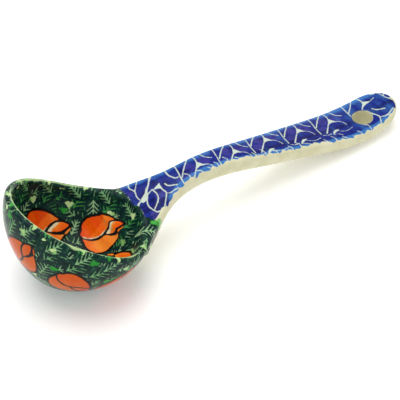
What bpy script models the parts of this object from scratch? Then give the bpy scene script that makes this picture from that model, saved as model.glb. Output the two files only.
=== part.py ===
"""Glazed stoneware gravy ladle: a deep round bowl with a flared strap handle luted to its wall.

Frame: metres, +Z up, +X from the bowl to the handle's tip. The origin is the centre of the small flat
spot ground under the bowl. The ladle lies as it does on a table: the bowl leans back on its flat spot,
and the handle arches over the neck and touches down again just before its tip.
"""
import math

import bmesh
import bpy
import numpy as np

# Bowl, in its own upright frame with the rim's centre at the origin
BOWL_RADIUS = 0.031        # outside, at the rim
BOWL_DEPTH = 0.032         # outside, from the rim's mean height down to the bottom
BOWL_POWER = 1.69          # superellipse power of the wall's profile; 2 would be an ellipse
WALL = 0.0032              # wall thickness, also the diameter of the rounded lip
# the rim's waves: how far each rises, and how many times it does so around the bowl
RIM_WAVES = [(0.0021, 2), (0.0012, 3), (0.0004, 4)]
BOWL_PITCH = math.radians(26)     # how far the bowl leans towards the handle when it lies down
RIM_CENTRE = (0.0051, 0.0, 0.0298)

# Handle, along X from the rim's centre
HANDLE_TIP = 0.1735
ROOT_START = 0.015         # the strap is made from inside the bowl and trimmed to the wall
ROOT = 0.030               # where the strap leaves the rim
# stations: distance from the rim's centre, height of the top face above the rim's centre, half width
STRAP = [
    (0.0220, -0.0120, 0.0180),    # root, inside the bowl's wall
    (0.0320, -0.0075, 0.0130),    # flare, where the strap leaves the rim
    (0.0450, -0.0040, 0.0075),    # foot of the neck
    (0.0600, -0.0025, 0.0060),    # neck: top of the arch and narrowest
    (0.0900, -0.0080, 0.0075),    # start of the grip
    (0.1220, -0.0160, 0.0100),    # middle of the grip
    (0.1520, -0.0210, 0.0115),    # broadest and lowest, at the hang hole
    (0.1735, -0.0180, 0.0095),    # tip
]
CROWN = 0.0029             # top face above the widest line
BELLY_MID = 0.0066         # underside below the widest line, along the arch
BELLY_TIP = 0.0056         # the same at the tip
BELLY_ROOT = 0.0050        # extra depth where the strap meets the wall
BELLY_ROOT_LENGTH = 0.004
TOP_POWER = 3.6            # squareness of the section above and below the widest line
BELLY_POWER = 2.6
TIP_LENGTH = 0.0125        # length of the rounded tip
TIP_POWER = 2.25

# Hang hole, hand-cut a little off the middle line
HOLE_X = 0.1538
HOLE_Y = -0.0020
HOLE_RADIUS = 0.0047

JOINT_GAP = 0.0003         # stands for the slip that joins the two clay pieces
GROUND_DEPTH = 0.02

RING = 64                  # points around the bowl
PROFILE = 13               # points down each side of the wall
LIP = 5                    # points over the lip
SECTION = 36               # points around the strap
STRAP_RINGS = 46
TIP_RINGS = 9


def smooth_curve(knots, values):
    """Natural cubic spline through the knots, as a function of one number or an array."""
    x = np.array(knots, float)
    y = np.array(values, float)
    h = np.diff(x)
    n = len(x)
    system = np.eye(n)
    right = np.zeros(n)
    for i in range(1, n - 1):
        system[i, i - 1:i + 2] = (h[i - 1], 2 * (h[i - 1] + h[i]), h[i])
        right[i] = 6 * ((y[i + 1] - y[i]) / h[i] - (y[i] - y[i - 1]) / h[i - 1])
    bend = np.linalg.solve(system, right)

    def value(at):
        at = np.clip(np.asarray(at, float), x[0], x[-1])
        i = np.clip(np.searchsorted(x, at) - 1, 0, n - 2)
        left = (x[i + 1] - at) / h[i]
        rest = 1 - left
        curve = ((left ** 3 - left) * bend[i] + (rest ** 3 - rest) * bend[i + 1]) * h[i] ** 2 / 6
        return left * y[i] + rest * y[i + 1] + curve

    return value


strap_top = smooth_curve([s[0] for s in STRAP], [s[1] for s in STRAP])
strap_half_width = smooth_curve([s[0] for s in STRAP], [s[2] for s in STRAP])


def clear_scene():
    for thing in list(bpy.data.objects):
        bpy.data.objects.remove(thing, do_unlink=True)


def glaze(name, colour, roughness):
    """Simple stand-in for painted, glazed stoneware."""
    material = bpy.data.materials.new(name)
    material.use_nodes = True
    shader = material.node_tree.nodes["Principled BSDF"]
    shader.inputs["Base Color"].default_value = (*colour, 1.0)
    shader.inputs["Roughness"].default_value = roughness
    shader.inputs["Metallic"].default_value = 0.0
    material.diffuse_color = (*colour, 1.0)
    return material


def make_object(name, bm):
    bmesh.ops.recalc_face_normals(bm, faces=bm.faces)
    mesh = bpy.data.meshes.new(name)
    bm.to_mesh(mesh)
    bm.free()
    thing = bpy.data.objects.new(name, mesh)
    bpy.context.collection.objects.link(thing)
    return thing


def make_cutter(name, bm):
    cutter = make_object(name, bm)
    cutter.hide_render = True
    cutter.display_type = "WIRE"
    return cutter


def cut(thing, cutter):
    boolean = thing.modifiers.new(cutter.name, "BOOLEAN")
    boolean.operation = "DIFFERENCE"
    boolean.solver = "EXACT"
    boolean.object = cutter


def shade(thing):
    thing.data.shade_smooth()
    thing.data.set_sharp_from_angle(angle=math.radians(35))


def wall_profile(radius, depth, count):
    """Points from the bottom's centre up to the rim's height, as (radius, height)."""
    points = []
    for i in range(count):
        turn = i / (count - 1) * math.pi / 2
        across = math.sin(turn) ** (2 / BOWL_POWER)
        down = math.cos(turn) ** (2 / BOWL_POWER) if i < count - 1 else 0.0
        points.append((radius * across, -depth * down))
    return points


def rim_rise(angle):
    return sum(rise * math.cos(times * angle) for rise, times in RIM_WAVES)


def spin_profile(profile):
    """Turns a profile about the upright axis, then lets the rim rise and fall around it."""
    bm = bmesh.new()
    corners = [bm.verts.new((r, 0.0, z)) for r, z in profile]
    edges = [bm.edges.new(pair) for pair in zip(corners, corners[1:])]
    bmesh.ops.spin(
        bm, geom=corners + edges, cent=(0, 0, 0), axis=(0, 0, 1), angle=2 * math.pi, steps=RING,
        use_merge=True,
    )
    bmesh.ops.remove_doubles(bm, verts=bm.verts, dist=1e-6)
    for v in bm.verts:
        angle = math.atan2(v.co.y, v.co.x)
        share = max(0.0, 1 + v.co.z / BOWL_DEPTH)
        v.co.z += rim_rise(angle) * share
    return bm


def lean_back(thing):
    """The bowl's own frame, placed and pitched as the ladle lies."""
    thing.location = RIM_CENTRE
    thing.rotation_euler = (0.0, BOWL_PITCH, 0.0)


def ground_cutter():
    """Block below the table's surface, which leaves the bowl's flat spot."""
    bm = bmesh.new()
    bmesh.ops.create_cube(bm, size=1.0)
    bmesh.ops.scale(bm, vec=(0.08, 0.08, GROUND_DEPTH), verts=bm.verts)
    bmesh.ops.translate(bm, vec=(0.0, 0.0, -GROUND_DEPTH / 2), verts=bm.verts)
    return make_cutter("ground_cutter", bm)


def make_bowl(ground):
    outside = wall_profile(BOWL_RADIUS, BOWL_DEPTH, PROFILE)
    inside = wall_profile(BOWL_RADIUS - WALL, BOWL_DEPTH - WALL, PROFILE)
    lip = []
    for i in range(1, LIP):
        turn = math.pi * i / LIP
        lip.append((BOWL_RADIUS - WALL / 2 + WALL / 2 * math.cos(turn), WALL / 2 * math.sin(turn)))
    bowl = make_object("bowl", spin_profile(outside + lip + inside[::-1]))
    lean_back(bowl)
    bowl.data.materials.append(glaze("green_rose_glaze", (0.035, 0.115, 0.075), 0.12))
    cut(bowl, ground)
    shade(bowl)
    return bowl


def wall_clearance_cutter():
    """The bowl's outside grown by the joint's gap and closed well above the rim."""
    profile = wall_profile(BOWL_RADIUS + JOINT_GAP, BOWL_DEPTH + JOINT_GAP, PROFILE)
    profile += [(BOWL_RADIUS + JOINT_GAP, 0.015), (0.0, 0.015)]
    cutter = make_cutter("wall_clearance_cutter", spin_profile(profile))
    lean_back(cutter)
    return cutter


def strap_section(x):
    """Closed ring of the strap at x, flat-topped and round-bellied, shrinking into the round tip."""
    width = float(strap_half_width(x))
    middle = float(strap_top(x)) - CROWN
    tipward = np.clip((x - 0.100) / (HANDLE_TIP - 0.100), 0, 1)
    belly = BELLY_MID + (BELLY_TIP - BELLY_MID) * tipward
    belly += BELLY_ROOT * math.exp(-max(0.0, x - ROOT) / BELLY_ROOT_LENGTH)
    into_tip = max(0.0, (x - (HANDLE_TIP - TIP_LENGTH)) / TIP_LENGTH)
    reach = width * (1 - into_tip ** TIP_POWER) ** (1 / TIP_POWER)
    ring = []
    for i in range(SECTION):
        turn = 2 * math.pi * i / SECTION
        upper = math.sin(turn) >= 0
        power = TOP_POWER if upper else BELLY_POWER
        height = CROWN if upper else -belly
        side = math.copysign(abs(math.cos(turn)) ** (2 / power), math.cos(turn))
        out = ((abs(side) * reach / width) ** TIP_POWER + into_tip ** TIP_POWER) ** (1 / TIP_POWER)
        lift = max(0.0, 1 - min(out, 1.0) ** power) ** (1 / power)
        ring.append((x, reach * side, middle + height * lift))
    return ring


def strap_stations():
    """Ring positions from the root to just short of the tip, closing up around the rounded end."""
    straight = np.linspace(ROOT_START, HANDLE_TIP - TIP_LENGTH, STRAP_RINGS)
    turns = np.linspace(0, math.pi / 2, TIP_RINGS + 1)[1:-1]
    rounded = HANDLE_TIP - TIP_LENGTH + TIP_LENGTH * np.sin(turns)
    return list(straight) + list(rounded)


def hole_cutter():
    bm = bmesh.new()
    bmesh.ops.create_cone(
        bm, cap_ends=True, segments=40, radius1=HOLE_RADIUS, radius2=HOLE_RADIUS, depth=0.04,
    )
    cutter = make_cutter("hole_cutter", bm)
    slope = math.atan2(float(strap_top(HOLE_X + 0.005) - strap_top(HOLE_X - 0.005)), 0.010)
    cutter.rotation_euler = (0.0, -slope, 0.0)
    cutter.location = (
        RIM_CENTRE[0] + HOLE_X,
        HOLE_Y,
        RIM_CENTRE[2] + float(strap_top(HOLE_X)) - CROWN,
    )
    return cutter


def make_handle(wall, hole):
    bm = bmesh.new()
    rings = [[bm.verts.new(p) for p in strap_section(x)] for x in strap_stations()]
    for ring, following in zip(rings, rings[1:]):
        for i in range(SECTION):
            j = (i + 1) % SECTION
            bm.faces.new((ring[i], ring[j], following[j], following[i]))
    bm.faces.new(rings[0])
    tip = bm.verts.new((HANDLE_TIP, 0.0, float(strap_top(HANDLE_TIP)) - CROWN))
    for i in range(SECTION):
        bm.faces.new((rings[-1][i], rings[-1][(i + 1) % SECTION], tip))
    handle = make_object("handle", bm)
    handle.location = RIM_CENTRE
    handle.data.materials.append(glaze("blue_petal_glaze", (0.06, 0.07, 0.36), 0.12))
    cut(handle, wall)
    cut(handle, hole)
    shade(handle)
    return handle


clear_scene()
ladle = bpy.data.objects.new("gravy_ladle", None)
bpy.context.collection.objects.link(ladle)
bowl_piece = make_bowl(ground_cutter())
handle_piece = make_handle(wall_clearance_cutter(), hole_cutter())
for piece in (bowl_piece, handle_piece):
    piece.parent = ladle
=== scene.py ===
"""Looks of the painted stoneware gravy ladle: one smooth clay skin, its underglaze painting and its glaze.

The skin is worked out from the same few dimensions as the solids. Lengths in the shaping and painting
code are millimetres in the ladle's frame, and become metres only when a mesh is made.
"""
import math

import bmesh
import bpy
import numpy as np
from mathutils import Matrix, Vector


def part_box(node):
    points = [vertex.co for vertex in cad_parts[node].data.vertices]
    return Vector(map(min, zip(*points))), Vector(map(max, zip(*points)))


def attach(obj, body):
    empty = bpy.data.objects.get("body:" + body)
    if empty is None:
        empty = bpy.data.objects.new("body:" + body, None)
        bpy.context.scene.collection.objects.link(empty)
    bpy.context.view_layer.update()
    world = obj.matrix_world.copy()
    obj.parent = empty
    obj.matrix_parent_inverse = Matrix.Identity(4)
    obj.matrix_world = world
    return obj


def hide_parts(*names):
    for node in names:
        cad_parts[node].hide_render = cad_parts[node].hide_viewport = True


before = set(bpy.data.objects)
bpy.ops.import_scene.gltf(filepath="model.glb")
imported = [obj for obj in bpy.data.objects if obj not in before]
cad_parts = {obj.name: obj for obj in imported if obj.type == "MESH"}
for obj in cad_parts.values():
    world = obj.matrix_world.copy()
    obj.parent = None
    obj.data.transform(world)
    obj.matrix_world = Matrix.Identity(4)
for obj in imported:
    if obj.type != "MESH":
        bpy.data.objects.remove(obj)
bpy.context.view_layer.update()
MM = 0.001

# ---- dimensions, in millimetres
BOWL_LOW, BOWL_HIGH = (np.array(corner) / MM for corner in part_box("bowl"))
HANDLE_HIGH = np.array(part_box("handle")[1]) / MM

BOWL_RADIUS = (BOWL_HIGH[1] - BOWL_LOW[1]) / 2
BOWL_DEPTH = 32.0
BOWL_POWER = 1.69            # superellipse power of the wall's profile
WALL = 3.2
RIM_WAVES = [(2.1, 2), (1.2, 3), (0.4, 4)]
BOWL_PITCH = math.radians(26)
RIM_CENTRE = np.array([5.1, 0.0, 29.8])

HANDLE_TIP = HANDLE_HIGH[0] - RIM_CENTRE[0]
ROOT_START = 15.0
ROOT = 30.0
# stations of the strap: distance from the rim's centre, height of the top face, half width
STRAP = [
    (22.0, -12.0, 18.0),  # root, inside the bowl's wall
    (32.0, -7.5, 13.0),  # flare, where the strap leaves the rim
    (45.0, -4.0, 7.5),  # foot of the neck
    (60.0, -2.5, 6.0),  # neck: top of the arch and narrowest
    (90.0, -8.0, 7.5),  # start of the grip
    (122.0, -16.0, 10.0),  # middle of the grip
    (152.0, -21.0, 11.5),  # broadest and lowest, at the hang hole
    (173.5, -18.0, 9.5),  # tip
]
CROWN = 2.9
BELLY_MID = 6.6
BELLY_TIP = 5.6
BELLY_ROOT = 5.0
BELLY_ROOT_LENGTH = 4.0
TOP_POWER = 3.6
BELLY_POWER = 2.6
TIP_LENGTH = 12.5
TIP_POWER = 2.25
HOLE = np.array([153.8, -2.0])
HOLE_RADIUS = 4.7

NECK_FILLET = 5.0            # how widely the handle's root is smoothed into the wall
HOLE_ROUNDING = 1.0
FOOT_ROUNDING = 0.4
ROOT_ROUNDING = 1.0          # the handle's root inside the wall
ROOT_FLOW = 7.0              # how widely its top face flows over into the bowl
ROOT_FLOW_HALF_WIDTH = 9.0
JOIN = 0.6                   # the two clay pieces meet this far outside the wall
TAPER_START = 100.0          # along the strap, where its belly starts to thin towards the tip
SKIN_STEP = 0.37             # spacing of the skin's points
LONGEST_MOVE = 0.8           # of a point, in one round of settling onto the clay

# the rough shapes that are fused into the skin
WALL_RINGS = 22
LIP_STEPS = 8
BOWL_RING_POINTS = 96
STRAP_RINGS = 60
TIP_RINGS = 8
STRAP_RING_POINTS = 48
STRAP_SQUARENESS = 0.7       # power of its rings' corners
DRILL_POINTS = 40
DRILL_ENDS = (-10.0, 25.0)   # heights


# ---- the clay's surface
def smooth_curve(knots, values):
    """Natural cubic spline through the knots, as a function of an array."""
    x = np.array(knots, float)
    y = np.array(values, float)
    h = np.diff(x)
    n = len(x)
    system = np.eye(n)
    right = np.zeros(n)
    for i in range(1, n - 1):
        system[i, i - 1:i + 2] = (h[i - 1], 2 * (h[i - 1] + h[i]), h[i])
        right[i] = 6 * ((y[i + 1] - y[i]) / h[i] - (y[i] - y[i - 1]) / h[i - 1])
    bend = np.linalg.solve(system, right)

    def value(at):
        at = np.clip(np.asarray(at, float), x[0], x[-1])
        i = np.clip(np.searchsorted(x, at) - 1, 0, n - 2)
        left = (x[i + 1] - at) / h[i]
        rest = 1 - left
        curve = ((left ** 3 - left) * bend[i] + (rest ** 3 - rest) * bend[i + 1]) * h[i] ** 2 / 6
        return left * y[i] + rest * y[i + 1] + curve

    return value


strap_top = smooth_curve([s[0] for s in STRAP], [s[1] for s in STRAP])
strap_half_width = smooth_curve([s[0] for s in STRAP], [s[2] for s in STRAP])


def to_bowl(points):
    """From the ladle's frame to the bowl's upright one."""
    q = points - RIM_CENTRE
    c, s = math.cos(BOWL_PITCH), math.sin(BOWL_PITCH)
    return np.stack([q[..., 0] * c - q[..., 2] * s, q[..., 1], q[..., 0] * s + q[..., 2] * c], -1)


def from_bowl(q):
    """From the bowl's upright frame to the ladle's."""
    c, s = math.cos(BOWL_PITCH), math.sin(BOWL_PITCH)
    turned = np.stack([q[..., 0] * c + q[..., 2] * s, q[..., 1], -q[..., 0] * s + q[..., 2] * c], -1)
    return turned + RIM_CENTRE


def rim_rise(angle):
    """Height of the hand-made rim's waves."""
    return sum(rise * np.cos(times * angle) for rise, times in RIM_WAVES)


def wall_coordinates(q):
    """Angle around the bowl, radius, and height as it would be under a level rim."""
    angle = np.arctan2(q[..., 1], q[..., 0])
    rise = rim_rise(angle)
    height = (q[..., 2] - rise) / (1 + rise / BOWL_DEPTH)
    return angle, np.hypot(q[..., 0], q[..., 1]), height


def profile_distance(radius, height, wide, deep):
    """Distance outside a superellipse profile, nearly true close to it."""
    down = np.maximum(-height, 0)
    total = np.maximum((radius / wide) ** BOWL_POWER + (down / deep) ** BOWL_POWER, 1e-9)
    across_slope = (radius / wide) ** (BOWL_POWER - 1) / wide
    down_slope = (down / deep) ** (BOWL_POWER - 1) / deep
    slope = total ** (1 / BOWL_POWER - 1) * np.hypot(across_slope, down_slope)
    return (total ** (1 / BOWL_POWER) - 1) / np.maximum(slope, 1e-3)


def outside_wall(q):
    """Distance outside the bowl's outer face, which carries straight on up above the rim."""
    _, radius, height = wall_coordinates(q)
    return np.where(height > 0, radius - BOWL_RADIUS,
                    profile_distance(radius, height, BOWL_RADIUS, BOWL_DEPTH))


def bowl_shell(q):
    """Distance outside the bowl's wall, with its rounded lip."""
    _, radius, height = wall_coordinates(q)
    outer = profile_distance(radius, height, BOWL_RADIUS, BOWL_DEPTH)
    inner = profile_distance(radius, height, BOWL_RADIUS - WALL, BOWL_DEPTH - WALL)
    lip = np.hypot(radius - (BOWL_RADIUS - WALL / 2), height) - WALL / 2
    return np.where(height > 0, lip, np.maximum(outer, -inner))


def strap_belly(x):
    """Depth of the strap's underside below its widest line."""
    tipward = np.clip((x - TAPER_START) / (HANDLE_TIP - TAPER_START), 0, 1)
    root = BELLY_ROOT * np.exp(-np.maximum(0.0, x - ROOT) / BELLY_ROOT_LENGTH)
    return BELLY_MID + (BELLY_TIP - BELLY_MID) * tipward + root


def strap(points):
    """Distance outside the handle's strap, nearly true close to it."""
    q = points - RIM_CENTRE
    x = np.clip(q[..., 0], STRAP[0][0], HANDLE_TIP)
    above = q[..., 2] - (strap_top(x) - CROWN)
    half = strap_half_width(x)
    depth = np.where(above > 0, CROWN, strap_belly(x))
    power = np.where(above > 0, TOP_POWER, BELLY_POWER)
    into_tip = np.maximum(0, (q[..., 0] - (HANDLE_TIP - TIP_LENGTH)) / TIP_LENGTH)
    side = ((np.abs(q[..., 1]) / half) ** TIP_POWER + into_tip ** TIP_POWER) ** (1 / TIP_POWER)
    lift = np.abs(above) / depth
    size = np.maximum((side ** power + lift ** power) ** (1 / power), 0.2)
    slope = np.hypot((side / size) ** (power - 1) / half, (lift / size) ** (power - 1) / depth)
    distance = (size - 1) / np.maximum(slope, 0.02)
    return np.maximum(distance, ROOT_START - q[..., 0])


def blend_union(a, b, width):
    """Union of two distances with a fillet."""
    share = np.maximum(width - np.abs(a - b), 0) / width
    return np.minimum(a, b) - share * share * width / 4


def blend_cut(a, b, width):
    """Intersection of two distances with a rounded edge."""
    return -blend_union(-a, -b, width)


def clay(points):
    """Distance outside the whole ladle: bowl, filleted handle, hang hole and flat foot."""
    q = to_bowl(points)
    along, across, high = np.moveaxis(points - RIM_CENTRE, -1, 0)
    above = high - (strap_top(np.clip(along, STRAP[0][0], HANDLE_TIP)) - CROWN)
    flow = np.clip((above + 2) / 2, 0, 1) * np.exp(-(across / ROOT_FLOW_HALF_WIDTH) ** 2)
    handle = blend_cut(strap(points), -(outside_wall(q) + WALL / 2), ROOT_ROUNDING + ROOT_FLOW * flow)
    body = blend_union(bowl_shell(q), handle, NECK_FILLET)
    across_hole = points[..., :2] - RIM_CENTRE[:2] - HOLE
    body = blend_cut(body, HOLE_RADIUS - np.hypot(across_hole[..., 0], across_hole[..., 1]), HOLE_ROUNDING)
    return blend_cut(body, -points[..., 2], FOOT_ROUNDING)


def outward(points, step=0.02):
    """Unit normals of the clay's surface."""
    slope = np.stack([clay(points + step * axis) - clay(points - step * axis) for axis in np.eye(3)], -1)
    return slope / np.maximum(np.linalg.norm(slope, axis=-1, keepdims=True), 1e-9)


def settle(points, rounds=4):
    """Moves points onto the clay's surface."""
    for _ in range(rounds):
        move = np.clip(clay(points), -LONGEST_MOVE, LONGEST_MOVE)
        points = points - outward(points) * move[:, None]
    return points


# ---- rough shapes, fused into one skin
def thing_from(bm, name):
    """An object in the scene, made from a bmesh that is then freed."""
    mesh = bpy.data.meshes.new(name)
    bm.to_mesh(mesh)
    bm.free()
    thing = bpy.data.objects.new(name, mesh)
    bpy.context.collection.objects.link(thing)
    return thing


def ring_mesh(name, rings):
    """Closed mesh through a stack of equal rings, capped at both ends."""
    bm = bmesh.new()
    loops = [[bm.verts.new(Vector(p) * MM) for p in ring] for ring in rings]
    count = len(loops[0])
    for loop, following in zip(loops, loops[1:]):
        for i in range(count):
            j = (i + 1) % count
            bm.faces.new((loop[i], loop[j], following[j], following[i]))
    bm.faces.new(loops[0])
    bm.faces.new(loops[-1])
    bmesh.ops.recalc_face_normals(bm, faces=bm.faces)
    return thing_from(bm, name)


def rough_bowl():
    """The bowl's shell: up its outer face, over the lip and down its inner face."""
    turns = np.linspace(0.03, math.pi / 2, WALL_RINGS)
    power = 2 / BOWL_POWER
    rise = [(BOWL_RADIUS * math.sin(t) ** power, -BOWL_DEPTH * math.cos(t) ** power) for t in turns[:-1]]
    over = [math.pi * i / LIP_STEPS for i in range(LIP_STEPS + 1)]
    middle = BOWL_RADIUS - WALL / 2
    lip = [(middle + WALL / 2 * math.cos(t), WALL / 2 * math.sin(t)) for t in over]
    wide, deep = BOWL_RADIUS - WALL, BOWL_DEPTH - WALL
    fall = [(wide * math.sin(t) ** power, -deep * math.cos(t) ** power) for t in turns[-2::-1]]
    angles = np.linspace(0, 2 * math.pi, BOWL_RING_POINTS, endpoint=False)
    lift = rim_rise(angles)
    rings = []
    for radius, height in rise + lip + fall:
        heights = height + lift * max(0.0, 1 + height / BOWL_DEPTH)
        ring = np.stack([radius * np.cos(angles), radius * np.sin(angles), heights], -1)
        rings.append(from_bowl(ring))
    return ring_mesh("rough_bowl", rings)


def rough_strap():
    """The handle's strap with the hang hole drilled by a boolean, and the drill itself."""
    turns = np.linspace(0, 2 * math.pi, STRAP_RING_POINTS, endpoint=False)
    cosine, sine = np.cos(turns), np.sin(turns)
    straight = np.linspace(ROOT_START, HANDLE_TIP - TIP_LENGTH, STRAP_RINGS)
    rounded = HANDLE_TIP - TIP_LENGTH * (1 - np.sin(np.linspace(0.15, 1.45, TIP_RINGS)))
    rings = []
    for x in np.concatenate([straight, rounded]):
        into_tip = max(0.0, (x - (HANDLE_TIP - TIP_LENGTH)) / TIP_LENGTH)
        shrink = math.sqrt(1 - into_tip ** 2)
        half = float(strap_half_width(x)) * shrink
        middle = float(strap_top(x)) - CROWN
        depth = np.where(sine > 0, CROWN, float(strap_belly(x))) * math.sqrt(shrink)
        across = half * np.sign(cosine) * np.abs(cosine) ** STRAP_SQUARENESS
        up = middle + depth * np.sign(sine) * np.abs(sine) ** STRAP_SQUARENESS
        rings.append(np.stack([np.full(turns.shape, x), across, up], -1) + RIM_CENTRE)
    piece = ring_mesh("rough_strap", rings)
    angles = np.linspace(0, 2 * math.pi, DRILL_POINTS, endpoint=False)
    centre = HOLE + RIM_CENTRE[:2]
    wall = np.stack([centre[0] + HOLE_RADIUS * np.cos(angles), centre[1] + HOLE_RADIUS * np.sin(angles)], -1)
    drill = ring_mesh("drill", [np.c_[wall, np.full(DRILL_POINTS, z)] for z in DRILL_ENDS])
    hole = piece.modifiers.new("hang_hole", "BOOLEAN")
    hole.object = drill
    hole.operation = "DIFFERENCE"
    return piece, drill


def evaluated(thing):
    """The thing's mesh with its modifiers applied."""
    bpy.context.view_layer.update()
    return bpy.data.meshes.new_from_object(thing.evaluated_get(bpy.context.evaluated_depsgraph_get()))


def clay_skin():
    """One even mesh over bowl and handle: rough shapes fused by voxels, then settled onto the clay."""
    bowl = rough_bowl()
    piece, drill = rough_strap()
    drilled = evaluated(piece)
    bm = bmesh.new()
    bm.from_mesh(bowl.data)
    bm.from_mesh(drilled)
    rough = thing_from(bm, "rough_ladle")
    fuse = rough.modifiers.new("fuse", "REMESH")
    fuse.mode = "VOXEL"
    fuse.voxel_size = SKIN_STEP * MM
    even = rough.modifiers.new("even", "SMOOTH")
    even.factor = 0.5
    even.iterations = 3
    skin = evaluated(rough)
    for thing in (bowl, piece, drill, rough):
        bpy.data.objects.remove(thing, do_unlink=True)
    points = np.empty(len(skin.vertices) * 3)
    skin.vertices.foreach_get("co", points)
    points = settle(points.reshape(-1, 3) / MM)
    skin.vertices.foreach_set("co", (points * MM).ravel())
    return skin


def part_of_skin(name, skin, keep_outer):
    """The skin on one side of the plane where the two clay pieces are luted together."""
    point = from_bowl(np.array([BOWL_RADIUS + JOIN, 0.0, 0.0]))
    normal = from_bowl(np.array([1.0, 0.0, 0.0])) - RIM_CENTRE
    bm = bmesh.new()
    bm.from_mesh(skin)
    bmesh.ops.bisect_plane(
        bm, geom=bm.verts[:] + bm.edges[:] + bm.faces[:], plane_co=point * MM, plane_no=normal,
        clear_outer=not keep_outer, clear_inner=keep_outer,
    )
    open_edges = [e for e in bm.edges if e.is_boundary]
    bmesh.ops.holes_fill(bm, edges=open_edges, sides=0)
    thing = thing_from(bm, name)
    thing.data.shade_smooth()
    return thing


# ---- drawing on the skin
BOWL_AXIS = from_bowl(np.array([0.0, 0.0, 1.0])) - RIM_CENTRE
WALL_STEPS = 200             # along the wall's profile, to measure an arc
LEAST_FACING = 0.1           # a stamp touches only points that face its way
FAR = 99.0                   # farther than any line
UNPAINTED = -20.0            # depth inside a stroke, well away from any


def spot(side, angle, depth):
    """Point on the bowl's wall or lip, a given way around it and a given arc down from the rim."""
    inset = {"in": WALL, "out": 0.0, "lip": WALL / 2}[side]
    down = np.linspace(0, 1, WALL_STEPS)
    radii = (BOWL_RADIUS - inset) * (1 - down ** BOWL_POWER) ** (1 / BOWL_POWER)
    heights = -(BOWL_DEPTH - inset) * down
    arc = np.r_[0, np.cumsum(np.hypot(np.diff(radii), np.diff(heights)))]
    radius = np.interp(depth, arc, radii)
    height = np.interp(depth, arc, heights) + (WALL / 2 if side == "lip" else 0.0)
    turn = math.radians(angle)
    lift = float(rim_rise(np.array(turn))) * max(0.0, 1 + height / BOWL_DEPTH)
    point = from_bowl(np.array([radius * math.cos(turn), radius * math.sin(turn), height + lift]))
    return settle(point[None], 3)[0]


def stamp_chart(points, normals, centre, turn, reach):
    """Coordinates around a stamp: which points it may touch, along its own axis and across it."""
    normal = outward(centre[None])[0]
    around = np.cross(BOWL_AXIS, normal)
    around /= np.linalg.norm(around)
    up = np.cross(normal, around)
    offset = points - centre
    near = np.flatnonzero((np.linalg.norm(offset, axis=1) < reach) & (normals @ normal > LEAST_FACING))
    u = offset[near] @ around
    v = offset[near] @ up
    c, s = math.cos(math.radians(turn)), math.sin(math.radians(turn))
    return near, u * c + v * s, -u * s + v * c


def rounded_outline(corners, closed=True, steps=5):
    """Catmull-Rom curve through given corners."""
    p = np.array(corners, float)
    if closed:
        p = np.vstack([p[-1], p, p[:2]])
    else:
        p = np.vstack([2 * p[0] - p[1], p, 2 * p[-1] - p[-2]])
    out = []
    for a, b, c, d in zip(p, p[1:], p[2:], p[3:]):
        for t in np.arange(steps) / steps:
            out.append(0.5 * (2 * b + (c - a) * t + (2 * a - 5 * b + 4 * c - d) * t * t
                              + (3 * b - a - 3 * c + d) * t ** 3))
    if not closed:
        out.append(p[-2])
    return np.array(out)


def line_distance(u, v, line):
    """Distance from each point to a polyline."""
    best = np.full(len(u), FAR)
    for a, b in zip(line, line[1:]):
        step = b - a
        t = np.clip(((u - a[0]) * step[0] + (v - a[1]) * step[1]) / max(step @ step, 1e-9), 0, 1)
        best = np.minimum(best, np.hypot(u - a[0] - t * step[0], v - a[1] - t * step[1]))
    return best


def outline_depth(u, v, outline):
    """Distance inside a closed outline, negative outside it."""
    loop = np.vstack([outline, outline[:1]])
    inside = np.zeros(len(u), bool)
    for a, b in zip(loop, loop[1:]):
        crosses = (a[1] > v) != (b[1] > v)
        if a[1] != b[1]:
            inside ^= crosses & (u < (b[0] - a[0]) * (v - a[1]) / (b[1] - a[1]) + a[0])
    distance = line_distance(u, v, loop)
    return np.where(inside, distance, -distance)


# The rosebud, its petals and their cream gleams: along, across, with its tip to the upper right
BUD = [(-9.8, 0.0), (-9.0, 3.2), (-7.0, 5.6), (-4.0, 7.9), (-1.0, 9.1), (2.4, 9.5), (5.0, 10.3),
       (8.2, 10.7), (8.8, 9.4), (9.5, 7.2), (9.7, 4.8), (9.9, 0.0), (9.3, -3.2), (7.9, -6.0),
       (5.0, -7.9), (2.0, -8.6), (-1.2, -8.6), (-4.0, -7.4), (-7.3, -5.6), (-9.2, -2.8)]
BIG_PETAL = [(-8.9, 0.0), (-8.3, 2.1), (-6.5, 4.4), (-4.0, 6.6), (-1.0, 8.1), (1.2, 8.7), (2.9, 8.8),
             (2.0, 7.0), (1.5, 4.8), (1.6, 2.0), (1.6, 0.2), (0.4, -1.9), (-1.1, -3.7), (-2.9, -5.0),
             (-4.8, -5.6), (-6.4, -5.2), (-7.2, -3.6), (-8.5, -2.0)]
TIP_PETAL = [(2.7, 1.9), (2.5, 4.8), (2.9, 7.0), (4.0, 8.6), (5.5, 9.5), (7.2, 9.8), (7.5, 8.6),
             (7.2, 6.8), (6.4, 5.0), (5.0, 3.5), (3.9, 2.4)]
LOW_PETAL = [(3.1, 1.2), (5.5, 2.6), (7.6, 4.4), (8.6, 5.4), (9.1, 3.0), (9.1, 0.0), (8.6, -2.5),
             (7.4, -5.0), (5.0, -6.9), (2.0, -7.7), (-0.6, -7.6), (-2.6, -6.8), (-4.2, -6.1),
             (-2.0, -5.2), (0.1, -3.8), (1.7, -1.9), (2.4, -0.3)]
SIDE_PETAL = [(8.5, 6.0), (8.4, 7.6), (8.4, 9.0), (8.9, 9.0), (9.2, 7.4), (9.2, 6.0)]
BIG_GLEAM = [(2.2, 3.0), (1.9, 0.2), (0.6, -2.1), (-0.9, -4.0), (-2.8, -5.4), (-4.8, -6.0),
             (-4.7, -5.2), (-2.8, -4.5), (-1.2, -3.1), (0.1, -1.5), (1.1, 0.2), (1.3, 2.6)]
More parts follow.
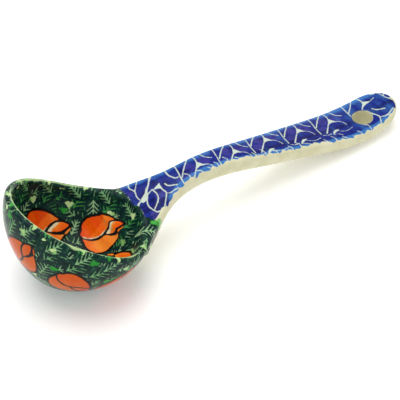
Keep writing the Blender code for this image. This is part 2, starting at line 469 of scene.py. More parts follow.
TIP_GLEAM = [(2.5, 1.6), (2.3, 4.8), (2.8, 7.6), (3.8, 8.2), (3.9, 6.0), (3.7, 4.2), (4.2, 2.9)]

# Rosebuds: side of the wall, degrees around from the handle, arc below the rim, turn, cream gleam
BUDS = [
    ("in", 15, 16, 0, 1.0),
    ("in", 85, 20, -50, 1.0),
    ("in", -50, 16, 150, 0.3),
    ("in", 158, 12, 70, 0.3),
    ("in", -112, 16, -160, 0.3),
    ("out", -120, 20, -85, 0.0),
    ("out", -175, 17, 0, 0.1),
    ("out", -68, 17, 40, 0.2),
    ("out", 132, 17, -50, 0.2),
    ("out", 80, 14, 110, 0.1),
    ("out", -18, 24, 200, 0.1),
    ("out", 42, 24, 20, 0.1),
]

# Rows of sprigs around the wall: side, arc below the rim, first bearing, step, how many, turn of the
# first sprig, change of turn, length, brightness
LEAF_ROWS = [
    ("in", 8, 112, -30, 5, 60, 8, 10, 0.9),
    ("in", 3, 130, -27, 6, 130, 6, 8, 0.5),
    ("in", 20, 45, -33, 3, 90, -8, 8, 0.2),
    ("out", 10, -108, -20, 5, 35, 8, 11, 0.6),
    ("out", 5, -52, -24, 6, 40, 2, 9, 0.4),
    ("out", 20, -94, -56, 2, 30, 38, 11, 0.4),
]
# Rings of dabs, scattered around each ring: layer, side, arc below the rim, how many, radius. Green is
# sponged over the leaves, and a gap is a pale place that the leaves leave free.
DAB_SEED = 5
DAB_RINGS = [
    ("gap", "lip", 0, 9, 1.7), ("gap", "in", 7, 7, 2.0), ("gap", "in", 21, 5, 2.0),
    ("gap", "out", 3, 8, 1.8), ("gap", "out", 13, 6, 1.8), ("gap", "out", 24, 5, 2.0),
    ("sponge", "lip", 0, 4, 1.7), ("sponge", "in", 10, 6, 1.8), ("sponge", "in", 20, 4, 1.7),
    ("sponge", "out", 2, 6, 2.0), ("sponge", "out", 12, 5, 1.9), ("sponge", "out", 20, 4, 1.9),
]
LEAF_SEED = 11
LEAF_RINGS = [("lip", 0.0), ("in", 4.5), ("in", 10.5), ("in", 16.5), ("in", 22.5), ("in", 29.0),
              ("in", 36.0), ("out", 3.5), ("out", 9.5), ("out", 15.5), ("out", 21.5), ("out", 28.0),
              ("out", 35.0), ("out", 41.0)]
LEAF_SPACING = 7.8           # along each ring
LEAF_LENGTHS = (8.5, 12.0)
LEAF_BRIGHTNESS = [0.15, 0.3, 0.5, 0.9]
LEAF_MIDDLE = 0.45           # share of a scattered leaf's length that lies before its place
LEAF_WANDER = 1.0            # of a scattered leaf, up or down from its ring
RING_WANDER = 0.3            # of a leaf or dab along its ring, as a share of the spacing
LEAF_HALF_WIDTH = 0.46       # as a share of the leaf's length
STALK = 1.0                  # a leaf starts this far before its place
POINT = 1.2                  # and ends this far beyond its length
LOBES = 7                    # scallops along each edge of a leaf
LOBE_INSET = 0.7
LOBE_DEPTH = 0.8
LEAF_BEND = 0.012
SEAM_WIDTH = 0.28
RIB_HALF_WIDTH = 0.27
RIB_TAPER = 0.014            # of the middle rib, for each millimetre
SIDE_RIB_TAPER = 0.17        # of a side rib, over its whole length
SIDE_RIB_BEND = 0.025
RIB_PAIRS = 4
RIB_ANGLE = math.radians(44)
RIB_REACHES = (0.36, 0.46, 0.38, 0.24)  # of the side ribs, as shares of the leaf's length
BUD_REACH = 15.0
DAB_REACH = 2.5              # as a share of the dab's radius
GAP_SHARE = 0.85             # how much of a pale dab's radius stays free of leaves

# The lip's painted highlight, a pale sheen line put into the colour: half width, and how it swells or
# narrows around the rim as bearing, reach and amount
LIP_SHEEN_WIDTH = 0.34
LIP_SHEEN_SWELLS = [(-128, 9, 1.3), (75, 30, 0.5), (0, 34, -1.6)]


def new_layers(count):
    """Painting layers, one number for each point of the skin."""
    strokes = ("leaf", "seam", "vein", "bud", "petal", "gleam", "sponge")
    layers = {name: np.full(count, UNPAINTED) for name in strokes}
    layers.update({name: np.zeros(count) for name in ("bright", "blush", "tone")})
    return layers


def deepen(layers, name, near, depth):
    """Adds a stroke to a layer, given the depth inside it."""
    layers[name][near] = np.maximum(layers[name][near], depth)


def draw_leaf(layers, points, normals, centre, turn, length, bright, tone, back=0.0):
    """A leaf from its stalk end, or shifted back along itself so that it is centred."""
    near, u, v = stamp_chart(points, normals, centre, turn, length + 5)
    u = u + back
    t = np.clip((u + STALK) / (length + (STALK + POINT)), 0, 1)
    scallop = np.abs(np.sin(math.pi * LOBES * (u - 0.4 * np.abs(v)) / length))
    width = LEAF_HALF_WIDTH * length * np.sin(math.pi * t ** 0.9) ** 0.55
    ends = np.minimum(u + STALK, length + POINT - u)
    body = np.minimum(width - LOBE_INSET + LOBE_DEPTH * scallop - np.abs(v), ends)
    v = v + LEAF_BEND * (tone - 0.5) * u * u
    rib = RIB_HALF_WIDTH - RIB_TAPER * u - np.abs(v)
    rib = np.where((u > -0.3) & (u < length * 0.88), rib, -1.0)
    for i in range(RIB_PAIRS):
        start = length * (0.04 + 0.80 * i / RIB_PAIRS)
        reach = length * RIB_REACHES[(i + (tone > 0.6)) % RIB_PAIRS]
        along = (u - start) * math.cos(RIB_ANGLE) + np.abs(v) * math.sin(RIB_ANGLE)
        off = -(u - start) * math.sin(RIB_ANGLE) + np.abs(v) * math.cos(RIB_ANGLE)
        off = off - SIDE_RIB_BEND * along ** 2
        side = RIB_HALF_WIDTH - SIDE_RIB_TAPER * along / reach - np.abs(off)
        rib = np.maximum(rib, np.where((along > 0) & (along < reach), side, -1.0))
    covers = body > 0
    here = near[covers]
    layers["vein"][here] = rib[covers]
    layers["seam"][here] = SEAM_WIDTH - body[covers]
    layers["bright"][here] = bright
    layers["tone"][here] = tone
    deepen(layers, "leaf", near, body)


def draw_bud(layers, points, normals, centre, turn, gleam):
    """A rosebud: dark ground, orange petals, cream gleams, and a blush that reddens the petals."""
    near, u, v = stamp_chart(points, normals, centre, turn, BUD_REACH)
    deepen(layers, "bud", near, outline_depth(u, v, rounded_outline(BUD)))
    for petal in (BIG_PETAL, TIP_PETAL, LOW_PETAL, SIDE_PETAL):
        deepen(layers, "petal", near, outline_depth(u, v, rounded_outline(petal)))
    for crescent in (BIG_GLEAM, TIP_GLEAM):
        deepen(layers, "gleam", near, outline_depth(u, v, rounded_outline(crescent)) - 1.2 * (1 - gleam))
    inside = layers["bud"][near] > -0.5
    big = outline_depth(u, v, rounded_outline(BIG_PETAL)) > -0.3
    tip = outline_depth(u, v, rounded_outline(TIP_PETAL)) > -0.3
    # the big petal is redder towards the stalk, the tip petal towards the tip, the low one at its ends
    red = np.where(big, 0.45 + 0.5 * np.clip((-1.8 - u) / 0.9, 0, 1), 0.12 + 0.02 * (u - 4) ** 2 / 4)
    red = np.where(tip, 0.2 + 0.22 * np.clip(u - 4.2, 0, 3), red)
    layers["blush"][near[inside]] = (red * (0.45 + 0.55 * gleam) + 0.2 * (1 - gleam))[inside]


def draw_dab(layers, name, points, normals, centre, radius, sign):
    """A rough round dab: adds paint to a layer, or takes it away."""
    near, u, v = stamp_chart(points, normals, centre, 0.0, radius * DAB_REACH)
    bearing = np.arctan2(v, u)
    ragged = 1 + 0.25 * np.sin(3 * bearing + radius * 7) + 0.12 * np.sin(7 * bearing + radius * 3)
    depth = radius * ragged - np.hypot(u, v * 1.3)
    if sign > 0:
        deepen(layers, name, near, depth)
    else:
        layers[name][near] = np.minimum(layers[name][near], -depth)


def scatter_leaves(layers, points, normals):
    """Leaves at random turns along each ring."""
    random = np.random.default_rng(LEAF_SEED)
    for side, depth in LEAF_RINGS:
        sample = to_bowl(spot(side, 90, depth)[None])[0]
        around = 2 * math.pi * np.hypot(sample[0], sample[1])
        count = max(3, round(around / LEAF_SPACING))
        for i in range(count):
            angle = 360 * (i + random.uniform(-RING_WANDER, RING_WANDER)) / count
            turn = random.uniform(0, 360)
            length = random.uniform(*LEAF_LENGTHS)
            bright = random.choice(LEAF_BRIGHTNESS)
            below = random.uniform(-LEAF_WANDER, LEAF_WANDER) if side != "lip" else 0.0
            tone = random.uniform(0, 1)
            centre = spot(side, angle, depth + below)
            draw_leaf(layers, points, normals, centre, turn, length, bright, tone, length * LEAF_MIDDLE)


def add_sprigs(layers, points, normals):
    """Rows of leaves over the scattered ones, each row turning evenly."""
    for side, depth, first, step, count, turn, turn_step, length, bright in LEAF_ROWS:
        for i in range(count):
            centre = spot(side, first + i * step, depth)
            tone = (i * 0.37) % 1
            draw_leaf(layers, points, normals, centre, turn + i * turn_step, length, bright, tone)


def add_dabs(layers, points, normals):
    """Sponged green dabs, and pale ones that clear the leaves away."""
    random = np.random.default_rng(DAB_SEED)
    for name, side, depth, count, radius in DAB_RINGS:
        for i in range(count):
            angle = 360 * (i + random.uniform(-RING_WANDER, RING_WANDER)) / count
            centre = spot(side, angle, depth)
            if name == "sponge":
                draw_dab(layers, "sponge", points, normals, centre, radius, 1)
            else:
                draw_dab(layers, "leaf", points, normals, centre, GAP_SHARE * radius, -1)
                draw_dab(layers, "vein", points, normals, centre, GAP_SHARE * radius, -1)


def painted_lip_sheen(angle, radius, height):
    """Depth inside the painted highlight, a pale sheen line along the inner edge of the lip's top."""
    bearing = np.degrees(angle)
    broad = LIP_SHEEN_WIDTH
    for middle, reach, amount in LIP_SHEEN_SWELLS:
        broad = broad + amount * np.exp(-((bearing - middle) / reach) ** 2)
    return broad - np.hypot(radius - (BOWL_RADIUS - 0.62 * WALL), height - 0.48 * WALL)


def bowl_painting(points, normals):
    """All layers of the green garden with its rosebuds."""
    layers = new_layers(len(points))
    scatter_leaves(layers, points, normals)
    add_sprigs(layers, points, normals)
    add_dabs(layers, points, normals)
    for side, angle, depth, turn, gleam in BUDS:
        draw_bud(layers, points, normals, spot(side, angle, depth), turn, gleam)
    q = to_bowl(points)
    # the outer wall, where the rosebuds' orange gets painted shade
    layers["outer"] = (outside_wall(q) > -WALL / 2).astype(float)
    # painted highlight: a pale sheen line along the lip
    layers["lip_sheen"] = painted_lip_sheen(*wall_coordinates(q))
    return layers


LINE_SHARE = 0.66            # how much of each cream line the brush left open
# The petal stamp that repeats along the handle: start along it, and how far across it is set
STAMPS = [(50.0, -4.4), (70.0, -4.0), (89.5, -1.2), (109.0, -0.6), (128.5, 0.0)]
# Cream lines left between the stamp's cobalt strokes: x along the handle, y across it, half thickness
STAMP_LINES = [
    ([(2.4, 12.0), (1.6, 8.0), (0.5, 4.0), (-0.4, 1.0), (-1.0, -3.4)], 0.3),
    ([(0.4, 1.6), (3.5, 4.9), (8.6, 9.6), (11.0, 12.0)], 0.32),
    ([(2.0, -4.0), (6.3, 0.3), (9.3, 3.3), (11.0, 6.6), (11.6, 12.0)], 0.34),
    ([(11.2, 2.6), (13.4, 1.9), (15.0, 0.4), (15.6, -2.0)], 0.24),
    ([(15.0, 12.0), (15.2, 7.6), (16.2, 5.8), (18.0, 4.4)], 0.32),
    ([(8.2, -4.0), (10.4, -5.3), (13.0, -5.7), (16.4, -5.0)], 0.17),
    ([(5.0, -5.6), (7.2, -6.2), (8.6, -7.6)], 0.2),
    ([(-0.8, -4.4), (1.4, -5.2), (4.0, -4.9)], 0.2),
]
STAMP_GAPS = [
    [(7.9, 1.8), (10.6, 5.6), (12.7, 1.8), (10.4, 2.4)],
    [(4.5, -5.7), (5.6, -4.2), (7.4, -3.1), (9.8, -3.4), (8.0, -4.1), (6.3, -4.9)],
]
# Short gaps between the pale strokes along the near edge: x along, distance in from the edge
EDGE_LINES = [
    ([(2.4, 4.4), (3.4, 2.6), (2.6, -1.0)], 0.28),
    ([(7.6, 2.6), (9.2, 1.4), (10.0, -1.0)], 0.34),
    ([(12.6, 1.8), (13.8, 0.6), (14.0, -1.0)], 0.26),
    ([(16.8, 3.2), (17.8, 1.6), (17.0, -1.0)], 0.3),
]
# The same where the strokes meet the garden, and around the hang hole
ROOT_LINES = [
    ([(34.5, 15.0), (31.5, 9.5), (32.0, 6.0), (31.0, 3.0), (31.0, 0.5)], 0.3),
    ([(32.0, 6.0), (34.0, 8.0), (37.5, 12.0)], 0.26),
    ([(33.0, 0.0), (36.0, 2.5), (38.5, 5.0), (40.5, 7.5), (42.0, 10.0)], 0.42),
    ([(27.0, -7.0), (28.0, -2.5), (30.5, -0.5), (33.5, 0.0)], 0.45),
    ([(34.5, 0.0), (32.5, -2.5), (31.5, -5.5), (32.0, -9.0), (33.0, -10.5)], 0.32),
    ([(33.0, -0.5), (35.0, 0.5), (37.5, 1.0)], 0.3),
    ([(37.5, 0.5), (37.5, -2.5), (36.0, -5.5), (32.5, -8.0)], 0.32),
    ([(41.0, 1.0), (40.5, -2.0), (40.5, -5.0), (38.0, -8.0), (36.0, -10.0)], 0.32),
    ([(40.5, -5.0), (42.0, -6.0), (46.0, -6.0)], 0.3),
    ([(33.0, -10.0), (35.0, -11.0), (37.0, -10.0)], 0.36),
    ([(43.0, -0.5), (43.5, -2.5), (46.5, -4.5)], 0.4),
    ([(48.0, 7.5), (47.0, 4.0), (47.0, 1.5), (48.0, -1.0), (49.5, -1.5)], 0.38),
]
ROOT_GAPS = [
    [(32.0, 1.0), (31.0, 0.0), (31.0, -1.5), (33.5, -1.5), (35.0, 0.5), (36.5, 4.0), (34.5, 2.0)],
    [(37.5, 0.5), (41.5, 1.5), (40.5, -1.5), (39.5, -0.5)],
    [(39.5, 5.5), (41.0, 10.0), (43.0, 9.0), (41.0, 7.0)],
]
# Where the cobalt at the root is thin and violet, or thick and deep: along, across, reach
ROOT_VIOLET = [(38.5, -4.5, 3.5), (31.0, -10.5, 2.5), (29.0, 6.0, 2.5), (49.0, -3.5, 2.5)]
ROOT_DEEP = [(34.5, -4.0, 2.5), (43.5, -0.5, 2.5), (40.0, 3.0, 3.0), (52.0, 0.5, 2.5)]
# A green brush smear where the garden meets the bare near edge: along, across
SMEAR = [(28.0, -13.0), (30.5, -13.5), (32.5, -14.5)]
SMEAR_HALF_WIDTH = 1.5
TIP_LINES = [
    ([(151.8, 12.0), (150.4, 6.0), (149.8, 1.5)], 0.3),
    ([(150.4, 3.8), (154.0, 6.8), (158.5, 11.5)], 0.3),
    ([(160.4, 12.0), (160.4, 5.6), (157.4, 2.2)], 0.36),
    ([(161.0, 4.2), (163.4, 3.9), (166.4, 4.4)], 0.22),
    ([(160.8, -0.6), (162.0, -2.6), (165.2, -4.5)], 0.4),
    ([(158.2, 0.0), (159.0, -3.6), (160.0, -6.6), (158.4, -9.8), (157.6, -12.0)], 0.34),
    ([(160.2, -7.2), (163.6, -8.2), (168.4, -6.6)], 0.38),
    ([(169.6, 8.0), (170.2, 3.6), (170.6, 0.4), (172.4, -3.4)], 0.34),
    ([(170.4, 2.6), (173.8, 4.4)], 0.28),
    ([(171.0, -0.6), (174.0, -0.2)], 0.26),
    ([(150.4, -6.2), (152.2, -8.0), (151.6, -12.0)], 0.3),
]
TIP_GAPS = [
    [(158.8, 3.0), (160.6, 6.2), (163.6, 3.6), (160.8, 3.6)],
    [(168.0, 8.6), (169.8, 7.4), (168.4, 6.2), (166.4, 7.8)],
]
# Near half of the handle: along, share left bare
BARE_EDGE = [(28, 0.14), (34, 0.15), (38, 0.05), (42, 0.04), (50, 0.14), (60, 0.08), (70, 0.16), (80, 0.27),
             (90, 0.12), (105, 0.10), (115, 0.14), (121, 0.22), (130, 0.10), (150, 0.09), (174, 0.10)]
# Where the green garden ends on top of the handle's root: across, along
BORDER = [(-15, 32), (-12, 29), (-9, 26.5), (-3, 28.5), (0, 27), (6, 28), (12, 28.5), (15, 31)]
LINE_REACH = 1.5             # a cream line is felt this far away
GAP_REACH = 8.0              # and a gap this far from its first corner
STROKE_DEPTH = 5.0           # deeper than any stroke
# Violet patches in each stamp: along, across, and their half lengths both ways
STAMP_VIOLET = [(6.2, 4.6), (13.8, 4.0), (3.2, -1.0)]
STAMP_VIOLET_REACH = (3.4, 3.6)
FAR_BARE = -0.05             # the far side is painted over its edge
EDGE_SHARPNESS = 1.5
NECK_BARE = ([42, 47], [0.25, 0.9])  # along the neck, how far above the widest line the paint stops
FAR_HANG = 0.6               # how far the paint hangs below the widest line on the far side
HOLE_BARE = 0.15             # bare ring around the hang hole
STAMP_MIDDLE = 8.0           # from a stamp's start
DEEP_ACROSS = 2.4            # the deepest cobalt lies this far to the near side of the stamps
DEEP_REACH = 1.7
ROOT_TOP = -14.0             # the green smear stays above this height
TIP_WASH = (142.0, 0.18)     # from here on the cobalt is a little thinner
# The garden's end under the handle's root and at its sides
GARDEN_SKIRT = (4.4, 2.8)    # how far past the bowl's wall, on the near side and elsewhere
GARDEN_SKIRT_SIDE = -8.0
GARDEN_WIDE = 14.5


def leave_line(gaps, x, y, corners, thick):
    """Leaves a cream line open between cobalt strokes."""
    line = rounded_outline(corners, closed=False, steps=6)
    low, high = line.min(axis=0) - LINE_REACH, line.max(axis=0) + LINE_REACH
    near = np.flatnonzero((x > low[0]) & (x < high[0]) & (y > low[1]) & (y < high[1]))
    gaps[near] = np.minimum(gaps[near], line_distance(x[near], y[near], line) - LINE_SHARE * thick)


def leave_gap(gaps, x, y, corners):
    """Leaves a cream patch open between cobalt strokes."""
    near = np.flatnonzero(np.hypot(x - corners[0][0], y - corners[0][1]) < GAP_REACH)
    gaps[near] = np.minimum(gaps[near], -outline_depth(x[near], y[near], np.array(corners)))


def cobalt_gaps(x, y, half):
    """Distance from the nearest line or gap that the cobalt strokes leave open."""
    gaps = np.full(len(x), STROKE_DEPTH)
    for start, across in STAMPS:
        for corners, thick in STAMP_LINES:
            leave_line(gaps, x - start, y - across, corners, thick)
        for corners in STAMP_GAPS:
            leave_gap(gaps, x - start, y - across, corners)
        for corners, thick in EDGE_LINES:
            leave_line(gaps, x - start, y + half, corners, thick)
    for corners, thick in ROOT_LINES + TIP_LINES:
        leave_line(gaps, x, y, corners, thick)
    for corners in ROOT_GAPS + TIP_GAPS:
        leave_gap(gaps, x, y, corners)
    return gaps


def painted_face(x, y, half, top):
    """Depth inside the painted face, which stops at a wavy line short of the near edge."""
    into_tip = np.maximum(0, (x - (HANDLE_TIP - TIP_LENGTH)) / TIP_LENGTH)
    side = ((np.abs(y) / half) ** TIP_POWER + into_tip ** TIP_POWER) ** (1 / TIP_POWER)
    lobes = 0.7 * np.sin(x * 0.83 + 1.5 * np.sin(x * 0.21)) + 0.4 * np.sin(x * 1.7 + 1.3)
    near_bare = np.interp(x, [b[0] for b in BARE_EDGE], [b[1] for b in BARE_EDGE])
    bare = np.where(y < 0, near_bare, FAR_BARE)
    edge = half * (1 - bare - side) + 0.5 * lobes
    near_edge = np.minimum(edge, (top - np.interp(x, *NECK_BARE)) * EDGE_SHARPNESS)
    edge = np.where(y < 0, near_edge, np.minimum(edge, (top + FAR_HANG) * EDGE_SHARPNESS))
    from_hole = np.hypot(x - HOLE[0], y - HOLE[1]) - HOLE_RADIUS - HOLE_BARE
    return np.minimum(edge, from_hole)


def cobalt_tones(x, y):
    """Where the cobalt is thin and violet, and where it is thick and deep."""
    violet = np.zeros(len(x))
    for start, across in STAMPS:
        for middle, high in STAMP_VIOLET:
            long, wide = STAMP_VIOLET_REACH
            offset = np.hypot((x - start - middle) / long, (y - across - high) / wide)
            violet = np.maximum(violet, 1 - offset ** 2)
    set_across = np.interp(x, [s[0] + STAMP_MIDDLE for s in STAMPS], [s[1] for s in STAMPS])
    deep = np.exp(-((y - set_across + DEEP_ACROSS) / DEEP_REACH) ** 2)
    for tone, patches in ((violet, ROOT_VIOLET), (deep, ROOT_DEEP)):
        for middle, across, reach in patches:
            np.maximum(tone, 1 - (np.hypot(x - middle, y - across) / reach) ** 2, out=tone)
    return np.maximum(violet, 0), deep


def handle_painting(points):
    """Depth inside a cobalt stroke, inside the painted face, and the tones of the cobalt."""
    q = points - RIM_CENTRE
    x, y, height = q[:, 0], q[:, 1], q[:, 2]
    along = np.clip(x, STRAP[0][0], HANDLE_TIP)
    half = strap_half_width(along)
    edge = painted_face(x, y, half, height - (strap_top(along) - CROWN))
    violet, deep = cobalt_tones(x, y)
    smear = SMEAR_HALF_WIDTH - line_distance(x, y, np.array(SMEAR))
    smear = np.where(height > ROOT_TOP, smear, -5.0)
    # thinner, bluer cobalt along both edges and towards the tip
    far = np.clip((y - (half - 4.6)) / 3.4, 0, 1)
    near = np.clip((2.9 - (y + half)) / 1.2, 0, 1) * np.clip((x - 38) / 6, 0, 1)
    wash = 0.75 * far + near + TIP_WASH[1] * (x > TIP_WASH[0])
    return {"cobalt": np.minimum(cobalt_gaps(x, y, half), edge), "painted": edge, "violet": violet,
            "deep": deep, "wash": wash, "smear": smear}


def border(points):
    """Depth inside the green garden, which ends in a scalloped line at the handle's root."""
    q = points - RIM_CENTRE
    line = np.interp(q[:, 1], [b[0] for b in BORDER], [b[1] for b in BORDER])
    on_top = line - q[:, 0]
    under = np.where(q[:, 1] < GARDEN_SKIRT_SIDE, *GARDEN_SKIRT) - outside_wall(to_bowl(points))
    low = q[:, 2] < strap_top(np.clip(q[:, 0], STRAP[0][0], HANDLE_TIP)) - CROWN
    wide = np.abs(q[:, 1]) > GARDEN_WIDE
    return np.where(low | wide, under, on_top)


# ---- materials
def colour(code):
    """Linear colour from a hex code."""
    parts = [int(code[i:i + 2], 16) / 255 for i in (0, 2, 4)]
    linear = [p / 12.92 if p <= 0.04045 else ((p + 0.055) / 1.055) ** 2.4 for p in parts]
    return (*linear, 1.0)


class Painter:
    """Small helper for building a node tree."""

    def __init__(self, material):
        material.use_nodes = True
        self.tree = material.node_tree
        self.shader = self.tree.nodes["Principled BSDF"]
        self.place = self.node("TexCoord").outputs["Object"]

    def node(self, kind):
        return self.tree.nodes.new("ShaderNode" + kind)

    def plug(self, socket, value):
        if isinstance(value, bpy.types.NodeSocket):
            self.tree.links.new(value, socket)
        else:
            socket.default_value = value

    def layer(self, name):
        node = self.node("Attribute")
        node.attribute_name = name
        return node.outputs["Fac"]

    def noise(self, scale, detail=3.0, stretch=None):
        node = self.node("TexNoise")
        node.inputs["Scale"].default_value = scale
        node.inputs["Detail"].default_value = detail
        place = self.place
        if stretch:
            mapping = self.node("Mapping")
            mapping.inputs["Scale"].default_value = stretch
            self.plug(mapping.inputs["Vector"], place)
            place = mapping.outputs["Vector"]
        self.plug(node.inputs["Vector"], place)
        return node.outputs["Fac"]

    def math(self, operation, a, b):
        node = self.node("Math")
        node.operation = operation
        self.plug(node.inputs[0], a)
        self.plug(node.inputs[1], b)
        return node.outputs[0]

    def uneven(self, value, noise, middle, amount):
        """The value with noise added around its middle, so that a painted edge wanders."""
        offset = self.math("MULTIPLY", self.math("SUBTRACT", noise, middle), amount)
        return self.math("ADD", value, offset)

    def ramp(self, value, low, high, to_low=0.0, to_high=1.0):
        node = self.node("MapRange")
        node.interpolation_type = "SMOOTHSTEP"
        self.plug(node.inputs["Value"], value)
        limits = {"From Min": low, "From Max": high, "To Min": to_low, "To Max": to_high}
        for socket, limit in limits.items():
            node.inputs[socket].default_value = limit
        return node.outputs["Result"]

    def mix(self, share, under, over):
        node = self.node("Mix")
        node.data_type = "RGBA"
        for socket, value in (("Factor", share), ("A", under), ("B", over)):
            self.plug(node.inputs[socket], value)
        return node.outputs["Result"]


CREAM = colour("d7d4b5")
CREAM_WARM = colour("cdc9a4")
PALE_GREEN = colour("b8d494")
LIGHT_GREEN = colour("7bb062")
BRIGHT_GREEN = colour("2c9530")
FRESH_GREEN = colour("4cb048")
LEAF_DARK = colour("061a1c")
LEAF_MID = colour("123a2e")
LEAF_EDGE = colour("346b4c")
LEAF_BLUE = colour("13262c")
VEIN_PALE = colour("a0c696")
VEIN_BRIGHT = colour("2a8a34")
INK = colour("070d0c")
ORANGE = colour("f0640d")
# darker orange, painted shade for the rosebuds on the outer wall
ORANGE_SHADED = colour("b44803")
ORANGE_RED = colour("e24603")
ORANGE_PALE = colour("f48c30")
GLEAM = colour("e6dcb2")
LINE = colour("c3cfc0")
COBALT = colour("18267a")
COBALT_DEEP = colour("0e1056")
COBALT_VIOLET = colour("343285")
COBALT_WASH = colour("3a70b2")
GLAZE = {"IOR": 1.4, "Specular IOR Level": 0.09, "Coat Weight": 0.03, "Coat Roughness": 0.05}
BUMP_STRENGTH = 0.12
BUMP_HEIGHT = 0.0006         # metres


def painted_glaze(name):
    """Underglaze painting on cream stoneware, under a thick clear glaze."""
    material = bpy.data.materials.new(name)
    p = Painter(material)
    grain = p.noise(900.0, 4.0)
    blotch = p.noise(160.0, 3.0)
    pool = p.noise(420.0, 5.0)
    wobble = p.math("MULTIPLY", p.math("SUBTRACT", pool, 0.5), 0.9)
    fine = p.math("MULTIPLY", p.math("SUBTRACT", grain, 0.5), 0.5)

    clay_colour = p.mix(p.ramp(blotch, 0.3, 0.7), CREAM, CREAM_WARM)

    # the garden: blotched greens, then leaves with their seams and veins
    gap = p.mix(p.ramp(blotch, 0.45, 0.62), PALE_GREEN, LIGHT_GREEN)
    gap = p.mix(p.ramp(p.noise(230.0, 2.0), 0.60, 0.68), gap, BRIGHT_GREEN)
    leaf_colour = p.mix(p.ramp(pool, 0.25, 0.75), LEAF_DARK, LEAF_MID)
    leaf_colour = p.mix(p.ramp(p.layer("tone"), 0.4, 1.0, 0.0, 0.6), leaf_colour, LEAF_BLUE)
    seam = p.uneven(p.layer("seam"), pool, 0.55, 1.2)
    leaf_colour = p.mix(p.ramp(seam, -0.2, 0.25, 0.0, 0.7), leaf_colour, LEAF_EDGE)
    leaf_share = p.ramp(p.math("ADD", p.layer("leaf"), wobble), -0.15, 0.25)
    garden = p.mix(leaf_share, gap, leaf_colour)
    vein_colour = p.mix(p.layer("bright"), VEIN_PALE, VEIN_BRIGHT)
    vein_share = p.ramp(p.math("ADD", p.layer("vein"), fine), -0.16, 0.14)
    vein_share = p.math("MULTIPLY", vein_share, p.ramp(pool, 0.25, 0.6, 0.55, 1.0))
    garden = p.mix(vein_share, garden, vein_colour)

    # green sponged over the leaves, then the rosebuds
    sponge = p.uneven(p.layer("sponge"), grain, 0.5, 3.0)
    garden = p.mix(p.ramp(sponge, -0.4, 0.9, 0.0, 0.85), garden, BRIGHT_GREEN)
    bud_share = p.ramp(p.math("ADD", p.layer("bud"), fine), -0.15, 0.15)
    garden = p.mix(bud_share, garden, INK)
    blush = p.uneven(p.layer("blush"), p.noise(260.0, 4.0, (1.0, 0.35, 0.35)), 0.5, 1.4)
    orange = p.mix(p.ramp(blush, 0.0, 0.55), ORANGE_PALE, ORANGE)
    orange = p.mix(p.ramp(blush, 0.55, 1.1), orange, ORANGE_RED)
    # painted shade: the rosebuds' orange on the outer wall is darkened
    orange = p.mix(p.math("MULTIPLY", p.layer("outer"), 0.75), orange, ORANGE_SHADED)
    orange = p.mix(p.ramp(p.math("ADD", p.layer("gleam"), fine), -0.25, 0.3), orange, GLEAM)
    petal_share = p.ramp(p.math("ADD", p.layer("petal"), fine), -0.1, 0.25)
    garden = p.mix(petal_share, garden, orange)

    # the handle: cobalt strokes with thin, thick and washed places, over the cream face
    streaks = p.noise(300.0, 4.0, (0.5, 1.0, 1.0))
    violet = p.uneven(p.layer("violet"), streaks, 0.5, 0.8)
    cobalt = p.mix(p.ramp(violet, 0.1, 0.7), COBALT, COBALT_VIOLET)
    deep = p.uneven(p.layer("deep"), streaks, 0.5, 0.8)
    cobalt = p.mix(p.ramp(deep, 0.35, 0.95, 0.0, 0.85), cobalt, COBALT_DEEP)
    cobalt = p.mix(p.ramp(p.noise(330.0, 3.0, (0.45, 1.0, 1.0)), 0.52, 0.72, 0.0, 0.8), cobalt, COBALT_DEEP)
    wash = p.uneven(p.layer("wash"), p.noise(210.0, 4.0, (1.0, 0.5, 0.5)), 0.45, 1.6)
    cobalt = p.mix(p.ramp(wash, 0.1, 0.9), cobalt, COBALT_WASH)
    face = p.mix(p.ramp(p.math("ADD", p.layer("painted"), fine), -0.2, 0.5), clay_colour, LINE)
    cobalt_share = p.ramp(p.math("ADD", p.layer("cobalt"), fine), -0.14, 0.22)
    handle_colour = p.mix(cobalt_share, face, cobalt)

    # the lip's painted highlight (a pale sheen line), the garden over the handle's root, and the green smear
    # beside it
    lip_sheen = p.uneven(p.layer("lip_sheen"), blotch, 0.5, 2.2)
    garden = p.mix(p.ramp(lip_sheen, -0.25, 0.45, 0.0, 0.75), garden, PALE_GREEN)
    garden_share = p.ramp(p.math("ADD", p.layer("garden"), wobble), -0.2, 0.2)
    both = p.mix(garden_share, handle_colour, garden)
    smear = p.uneven(p.layer("smear"), p.noise(420.0, 4.0, (1.0, 2.2, 0.6)), 0.5, 3.0)
    p.plug(p.shader.inputs["Base Color"], p.mix(p.ramp(smear, 0.0, 1.1, 0.0, 0.85), both, FRESH_GREEN))

    # the glaze: nearly smooth, a little uneven
    p.plug(p.shader.inputs["Roughness"], p.ramp(blotch, 0.2, 0.8, 0.10, 0.18))
    bump = p.node("Bump")
    bump.inputs["Strength"].default_value = BUMP_STRENGTH
    bump.inputs["Distance"].default_value = BUMP_HEIGHT
    p.plug(bump.inputs["Height"], p.noise(95.0, 2.0))
    p.plug(p.shader.inputs["Normal"], bump.outputs["Normal"])
    for socket, value in GLAZE.items():
        p.shader.inputs[socket].default_value = value
    return material


# ---- the two clay pieces
def paint(thing, painting):
    """Stores the painting's layers and the clay's exact normals on the piece's mesh."""
    mesh = thing.data
    points = np.empty(len(mesh.vertices) * 3)
    mesh.vertices.foreach_get("co", points)
    points = points.reshape(-1, 3) / MM
    normals = outward(points)
    for name, values in painting(points, normals).items():
        layer = mesh.attributes.new(name, "FLOAT", "POINT")
        layer.data.foreach_set("value", values.astype(np.float32))
    mesh.normals_split_custom_set_from_vertices(normals)


def full_painting(points, normals):
    """Every layer of both paintings, and the line where they meet."""
    layers = bowl_painting(points, normals)
    layers.update(handle_painting(points))
    layers["garden"] = border(points)
    return layers


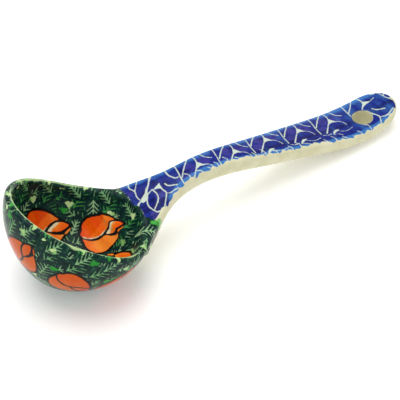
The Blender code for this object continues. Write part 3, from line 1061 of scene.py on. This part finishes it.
def make_pieces():
    """Cuts the skin where the two clay pieces meet, and paints both."""
    skin = clay_skin()
    for name, node, slot, outer in (
        ("painted_bowl", "bowl", "green_rose_glaze", False),
        ("painted_handle", "handle", "blue_petal_glaze", True),
    ):
        piece = part_of_skin(name, skin, outer)
        paint(piece, full_painting)
        piece.data.materials.append(painted_glaze(name + "_glaze"))
        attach(piece, "root")
        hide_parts(node)


make_pieces()


# ---- floor, light and camera, in metres
WHITE = (1.0, 1.0, 1.0, 1.0)
SWEEP_WHITE = (0.97, 0.97, 0.965, 1.0)
SWEEP_ROUGHNESS = 0.9
SWEEP_GLOW = 0.16
SWEEP_SIZE = 3.0
SKY_STRENGTH = 0.74
LIT_PLACE = (0.07, 0.0, 0.02)
KEY_PLACE = (0.05, 0.22, 0.9)
KEY_SIZE = 1.0
KEY_POWER = 6.0


def plain_material(name, base, roughness, glow):
    material = bpy.data.materials.new(name)
    material.use_nodes = True
    shader = material.node_tree.nodes["Principled BSDF"]
    shader.inputs["Base Color"].default_value = base
    shader.inputs["Roughness"].default_value = roughness
    shader.inputs["Specular IOR Level"].default_value = 0.1
    shader.inputs["Emission Color"].default_value = WHITE
    shader.inputs["Emission Strength"].default_value = glow
    return material


def make_floor():
    bm = bmesh.new()
    bmesh.ops.create_grid(bm, x_segments=1, y_segments=1, size=SWEEP_SIZE)
    floor = thing_from(bm, "floor")
    floor.data.materials.append(plain_material("white_sweep", SWEEP_WHITE, SWEEP_ROUGHNESS, SWEEP_GLOW))


def area_light(name, place, target, size, power):
    light = bpy.data.lights.new(name, "AREA")
    light.shape = "DISK"
    light.size = size
    light.energy = power
    lamp = bpy.data.objects.new(name, light)
    lamp.location = place
    lamp.rotation_euler = (Vector(target) - Vector(place)).to_track_quat("-Z", "Y").to_euler()
    bpy.context.collection.objects.link(lamp)


def make_light():
    world = bpy.data.worlds.new("studio")
    world.use_nodes = True
    sky = world.node_tree.nodes["Background"].inputs
    sky["Color"].default_value = WHITE
    sky["Strength"].default_value = SKY_STRENGTH
    bpy.context.scene.world = world
    area_light("soft_key", KEY_PLACE, LIT_PLACE, KEY_SIZE, KEY_POWER)


CAMERA_TARGET = Vector((0.0607, -0.0083, 0.0150))
CAMERA_AZIMUTH = math.radians(-36.9)
CAMERA_ELEVATION = math.radians(41.96)
CAMERA_DISTANCE = 0.616
CAMERA_LENS = 130.6


def make_camera():
    camera = bpy.data.cameras.new("camera")
    camera.lens = CAMERA_LENS
    camera.sensor_width = 36.0
    camera.clip_end = 20.0
    view = bpy.data.objects.new("camera", camera)
    level = math.cos(CAMERA_ELEVATION)
    back = Vector((math.sin(CAMERA_AZIMUTH) * level, -math.cos(CAMERA_AZIMUTH) * level,
                   math.sin(CAMERA_ELEVATION)))
    view.location = CAMERA_TARGET + back * CAMERA_DISTANCE
    view.rotation_euler = (math.pi / 2 - CAMERA_ELEVATION, 0.0, CAMERA_AZIMUTH)
    bpy.context.collection.objects.link(view)
    bpy.context.scene.camera = view


make_floor()
make_light()
make_camera()
bpy.context.scene.view_settings.view_transform = "Standard"
